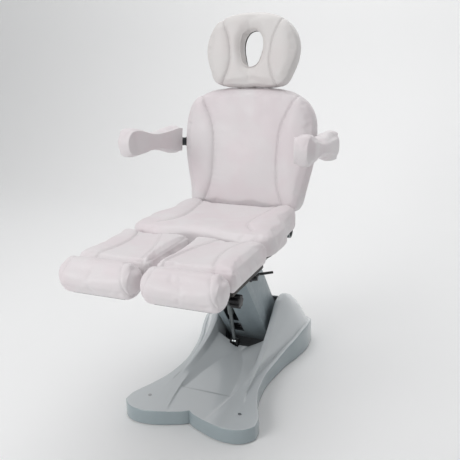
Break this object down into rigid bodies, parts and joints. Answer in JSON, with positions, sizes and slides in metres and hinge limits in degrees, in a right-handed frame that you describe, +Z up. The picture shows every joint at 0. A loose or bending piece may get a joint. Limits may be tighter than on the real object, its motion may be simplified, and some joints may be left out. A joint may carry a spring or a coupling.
{
  "type": "electric pedicure treatment chair",
  "caption": "Padded treatment chair on a powered lift arm and fish-tail base, with reclining back, face-hole headrest, swing-up armrests and split extending leg rests.",
  "frame": {"origin": "on the floor under the middle of the chair's width, at the waist of the base", "axes": "+Z up, the front of the chair faces -Y, and the sitter's left is +X"},
  "size_m": [0.824, 1.3509, 1.5605],
  "materials": {
    "upholstery": "satin",
    "upholstery_head": "satin",
    "base_plastic": "gloss",
    "arm_paint": "satin",
    "frame_paint": "satin",
    "black_steel": "satin",
    "black_plastic": "matte",
    "pin_steel": "satin",
    "ring_steel": "satin",
    "screw_steel": "satin",
    "jack_grey": "satin",
    "jack_rod_steel": "satin",
    "post_chrome": "polished",
    "stained_plywood": "matte",
    "control_box": "matte",
    "inlet_plastic": "matte",
    "foot_rubber": "matte"
  },
  "bodies": {
    "base": {"base_cover": "base_plastic", "cover_screws": "screw_steel", "chassis_rails": "frame_paint", "chassis_cross_beams": "frame_paint", "pivot_towers": "frame_paint", "base_pivot_pins": "pin_steel", "levelling_feet": "foot_rubber", "jack_foot_bracket": "black_steel", "control_box": "control_box", "power_inlet": "inlet_plastic"},
    "rear_link": {"rear_links": "frame_paint", "arm_cover_rear": "arm_paint", "jack_top_pin": "pin_steel"},
    "front_link": {"front_links": "frame_paint", "arm_cover_front": "arm_paint"},
    "jack_lower": {"jack_rod": "jack_rod_steel"},
    "jack_upper": {"jack_tube": "jack_grey", "jack_motor": "jack_grey"},
    "carrier": {"carrier": "frame_paint", "carrier_pins": "pin_steel", "slewing_ring": "ring_steel"},
    "turret": {"turret": "frame_paint"},
    "seat": {"seat_cushion": "upholstery", "seat_board": "stained_plywood", "seat_cross_tubes": "frame_paint", "seat_rails": "frame_paint", "seat_pins": "pin_steel", "leg_hinges": "frame_paint", "recline_jack": "jack_grey"},
    "recline_rod": {"recline_rod": "jack_rod_steel"},
    "back": {"back_cushion": "upholstery", "back_board": "stained_plywood", "back_rails": "frame_paint", "back_cheeks": "frame_paint", "back_cross_tubes": "frame_paint", "headrest_sockets": "frame_paint", "arm_brackets": "frame_paint"},
    "head_post": {"headrest_posts": "post_chrome"},
    "head": {"headrest_cushion": "upholstery_head", "headrest_board": "stained_plywood", "headrest_strap": "frame_paint"},
    "arm_left": {"armrest_pad_left": "upholstery", "armrest_plate_left": "frame_paint"},
    "leg_left": {"leg_cushion_left": "upholstery", "leg_board_left": "stained_plywood", "leg_frame_left": "frame_paint"},
    "foot_left": {"foot_cushion_left": "upholstery", "foot_slide_left": "frame_paint"},
    "knob_left": {"clamp_knob_left": "black_plastic"},
    "lever_left": {"release_lever_left": "black_steel"},
    "arm_right": {"armrest_pad_right": "upholstery", "armrest_plate_right": "frame_paint"},
    "leg_right": {"leg_cushion_right": "upholstery", "leg_board_right": "stained_plywood", "leg_frame_right": "frame_paint"},
    "foot_right": {"foot_cushion_right": "upholstery", "foot_slide_right": "frame_paint"},
    "knob_right": {"clamp_knob_right": "black_plastic"},
    "lever_right": {"release_lever_right": "black_steel"}
  },
  "joints": [
    {"name": "lift", "type": "hinge", "parent": "base", "child": "rear_link", "pos_m": [0, 0.316, 0.15], "axis": [-1, 0, 0], "range_deg": [-20, 16]},
    {"name": "front_link_pivot", "type": "hinge", "parent": "base", "child": "front_link", "pos_m": [0, 0.251, 0.1], "axis": [-1, 0, 0], "range_deg": [-20.5, 16.5]},
    {"name": "carrier_level", "type": "hinge", "parent": "rear_link", "child": "carrier", "pos_m": [0, -0.02873, 0.59764], "axis": [-1, 0, 0], "range_deg": [-16.5, 20.5]},
    {"name": "jack_foot", "type": "hinge", "parent": "base", "child": "jack_lower", "pos_m": [-0.042, 0.139, 0.078], "axis": [1, 0, 0], "range_deg": [-15.96, 19.82]},
    {"name": "jack_stroke", "type": "slide", "parent": "jack_lower", "child": "jack_upper", "axis": [0, -0.2482, 0.9687], "range_m": [-0.0673, 0.0542]},
    {"name": "swivel", "type": "hinge", "parent": "carrier", "child": "turret", "pos_m": [0, -0.06, 0.636], "axis": [0, 0, 1], "range_deg": [-120, 120]},
    {"name": "seat_tilt", "type": "hinge", "parent": "turret", "child": "seat", "pos_m": [0, 0.062, 0.648], "axis": [-1, 0, 0], "range_deg": [0, 12]},
    {"name": "recline", "type": "hinge", "parent": "seat", "child": "back", "pos_m": [0, 0.19, 0.68], "axis": [-1, 0, 0], "range_deg": [0, 75]},
    {"name": "recline_stroke", "type": "slide", "parent": "seat", "child": "recline_rod", "axis": [0, 1, 0], "range_m": [-0.0935, 0.002]},
    {"name": "headrest_height", "type": "slide", "parent": "back", "child": "head_post", "axis": [0, 0.1719, 0.9851], "range_m": [0, 0.08]},
    {"name": "headrest_tilt", "type": "hinge", "parent": "head_post", "child": "head", "pos_m": [0, 0.36674, 1.30522], "axis": [-1, 0, 0], "range_deg": [0, 30]},
    {"name": "armrest_left", "type": "hinge", "parent": "back", "child": "arm_left", "pos_m": [0.338, 0.31502, 0.99143], "axis": [-1, 0, 0], "range_deg": [0, 85]},
    {"name": "leg_rest_left", "type": "hinge", "parent": "seat", "child": "leg_left", "pos_m": [0.143, -0.338, 0.668], "axis": [1, 0, 0], "range_deg": [0, 70]},
    {"name": "foot_slide_left", "type": "slide", "parent": "leg_left", "child": "foot_left", "axis": [0, -1, 0], "range_m": [0, 0.12]},
    {"name": "knob_left", "type": "hinge", "parent": "leg_left", "child": "knob_left", "pos_m": [0.275, -0.604, 0.628], "axis": [1, 0, 0], "range_deg": [-180, 180]},
    {"name": "lever_left", "type": "hinge", "parent": "seat", "child": "lever_left", "pos_m": [0.238, -0.332, 0.603], "axis": [1, 0, 0], "range_deg": [-15, 0]},
    {"name": "armrest_right", "type": "hinge", "parent": "back", "child": "arm_right", "pos_m": [-0.338, 0.31502, 0.99143], "axis": [-1, 0, 0], "range_deg": [0, 85]},
    {"name": "leg_rest_right", "type": "hinge", "parent": "seat", "child": "leg_right", "pos_m": [-0.143, -0.338, 0.668], "axis": [1, 0, 0], "range_deg": [0, 70]},
    {"name": "foot_slide_right", "type": "slide", "parent": "leg_right", "child": "foot_right", "axis": [0, -1, 0], "range_m": [0, 0.12]},
    {"name": "knob_right", "type": "hinge", "parent": "leg_right", "child": "knob_right", "pos_m": [-0.275, -0.604, 0.628], "axis": [1, 0, 0], "range_deg": [-180, 180]},
    {"name": "lever_right", "type": "hinge", "parent": "seat", "child": "lever_right", "pos_m": [-0.238, -0.332, 0.603], "axis": [1, 0, 0], "range_deg": [-15, 0]}
  ],
  "couplings": [
    {"joint": "front_link_pivot", "follows": "lift", "ratio": 1},
    {"joint": "carrier_level", "follows": "lift", "ratio": -1},
    {"joint": "jack_foot", "follows": "lift", "ratio": -0.966},
    {"joint": "jack_stroke", "follows": "lift", "m_per_rad": 0.187},
    {"joint": "recline_stroke", "follows": "recline", "m_per_rad": -0.0699}
  ]
}
